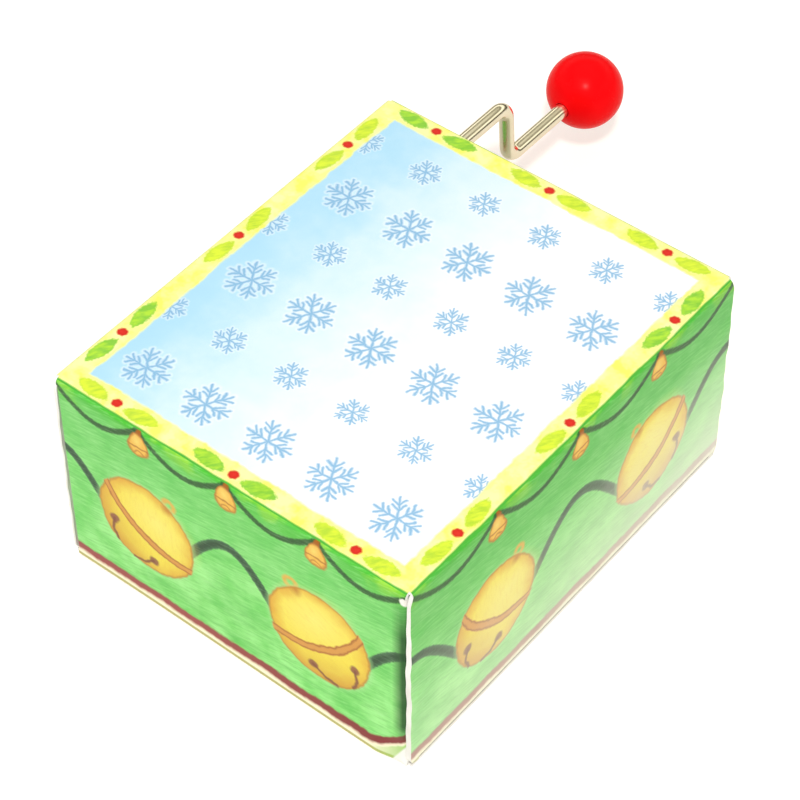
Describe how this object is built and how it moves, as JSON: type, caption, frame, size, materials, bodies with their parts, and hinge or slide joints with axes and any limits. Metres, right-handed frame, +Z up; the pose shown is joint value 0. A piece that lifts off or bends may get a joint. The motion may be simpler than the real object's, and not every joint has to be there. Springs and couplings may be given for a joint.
{
  "type": "hand crank music box",
  "caption": "Small hand-crank music box in a printed folding carton: a bent wire crank with a ball knob turns a pinned cylinder under a steel comb; both ends open.",
  "frame": {"origin": "centre of the carton's flat bottom face", "axes": "+X to the right seen from the front, +Y from the front towards the crank, +Z up; the crank arm hangs down at rest, 3.2 degrees off plumb"},
  "size_m": [0.052, 0.1007, 0.031],
  "materials": {
    "printed_board": "gloss",
    "inside_board": "matte",
    "plywood": "satin",
    "zinc_casting": "satin",
    "plated_screw": "satin",
    "comb_steel": "satin",
    "soft_weight": "matte",
    "brass": "polished",
    "bright_steel": "polished",
    "white_nylon": "satin",
    "plated_wire": "polished",
    "red_plastic": "gloss"
  },
  "bodies": {
    "carton": {"carton_tube": "printed_board", "sound_board": "plywood", "bedplate": "zinc_casting", "bedplate_screws": "plated_screw", "bedplate_washers": "plated_screw", "comb": "comb_steel", "tuning_weights": "soft_weight", "comb_screws": "plated_screw", "arbor_bracket": "brass", "arbor_bracket_screws": "plated_screw", "crank_frame": "zinc_casting", "crank_frame_screws": "plated_screw", "crank_bushes": "brass", "thrust_washers": "white_nylon"},
    "right_lid": {"right_lid": "printed_board"},
    "right_tuck": {"right_tuck_flap": "inside_board"},
    "right_dust_front": {"right_dust_flap_front": "inside_board"},
    "right_dust_rear": {"right_dust_flap_rear": "inside_board"},
    "left_lid": {"left_lid": "printed_board"},
    "left_tuck": {"left_tuck_flap": "inside_board"},
    "left_dust_front": {"left_dust_flap_front": "inside_board"},
    "left_dust_rear": {"left_dust_flap_rear": "inside_board"},
    "crank": {"crank_rod": "plated_wire", "drive_worm": "brass"},
    "cylinder": {"cylinder_arbor": "bright_steel", "worm_wheel": "white_nylon", "cylinder_cap_left": "brass", "cylinder_cap_right": "brass", "cylinder_sleeve": "brass", "music_pins": "bright_steel"},
    "knob": {"crank_knob": "red_plastic"}
  },
  "joints": [
    {"name": "crank_turn", "type": "hinge", "parent": "carton", "child": "crank", "pos_m": [-0.02, 0.007, 0.0215], "axis": [0, 1, 0], "continuous": true},
    {"name": "cylinder_turn", "type": "hinge", "parent": "carton", "child": "cylinder", "pos_m": [-0.02, 0.007, 0.014], "axis": [1, 0, 0], "continuous": true},
    {"name": "knob_spin", "type": "hinge", "parent": "crank", "child": "knob", "pos_m": [-0.0195, 0.06465, 0.01251], "axis": [0, 1, 0], "continuous": true},
    {"name": "right_lid_fold", "type": "hinge", "parent": "carton", "child": "right_lid", "pos_m": [0.026, 0, 0.031], "axis": [0, -1, 0], "range_deg": [0, 150]},
    {"name": "right_tuck_fold", "type": "hinge", "parent": "right_lid", "child": "right_tuck", "pos_m": [0.0255, 0, 0.0011], "axis": [0, 1, 0], "range_deg": [0, 40]},
    {"name": "right_dust_front_fold", "type": "hinge", "parent": "carton", "child": "right_dust_front", "pos_m": [0.02545, -0.03075, 0.015], "axis": [0, 0, -1], "range_deg": [0, 40]},
    {"name": "right_dust_rear_fold", "type": "hinge", "parent": "carton", "child": "right_dust_rear", "pos_m": [0.02545, 0.03075, 0.015], "axis": [0, 0, 1], "range_deg": [0, 40]},
    {"name": "left_lid_fold", "type": "hinge", "parent": "carton", "child": "left_lid", "pos_m": [-0.026, 0, 0.031], "axis": [0, 1, 0], "range_deg": [0, 150]},
    {"name": "left_tuck_fold", "type": "hinge", "parent": "left_lid", "child": "left_tuck", "pos_m": [-0.0255, 0, 0.0011], "axis": [0, -1, 0], "range_deg": [0, 40]},
    {"name": "left_dust_front_fold", "type": "hinge", "parent": "carton", "child": "left_dust_front", "pos_m": [-0.02545, -0.03075, 0.015], "axis": [0, 0, 1], "range_deg": [0, 40]},
    {"name": "left_dust_rear_fold", "type": "hinge", "parent": "carton", "child": "left_dust_rear", "pos_m": [-0.02545, 0.03075, 0.015], "axis": [0, 0, -1], "range_deg": [0, 40]}
  ],
  "couplings": [
    {"joint": "cylinder_turn", "follows": "crank_turn", "ratio": 0.045455},
    {"joint": "right_tuck_fold", "follows": "right_lid_fold", "ratio": 0.25},
    {"joint": "right_dust_front_fold", "follows": "right_lid_fold", "ratio": 0.25},
    {"joint": "right_dust_rear_fold", "follows": "right_lid_fold", "ratio": 0.25},
    {"joint": "left_tuck_fold", "follows": "left_lid_fold", "ratio": 0.25},
    {"joint": "left_dust_front_fold", "follows": "left_lid_fold", "ratio": 0.25},
    {"joint": "left_dust_rear_fold", "follows": "left_lid_fold", "ratio": 0.25}
  ]
}
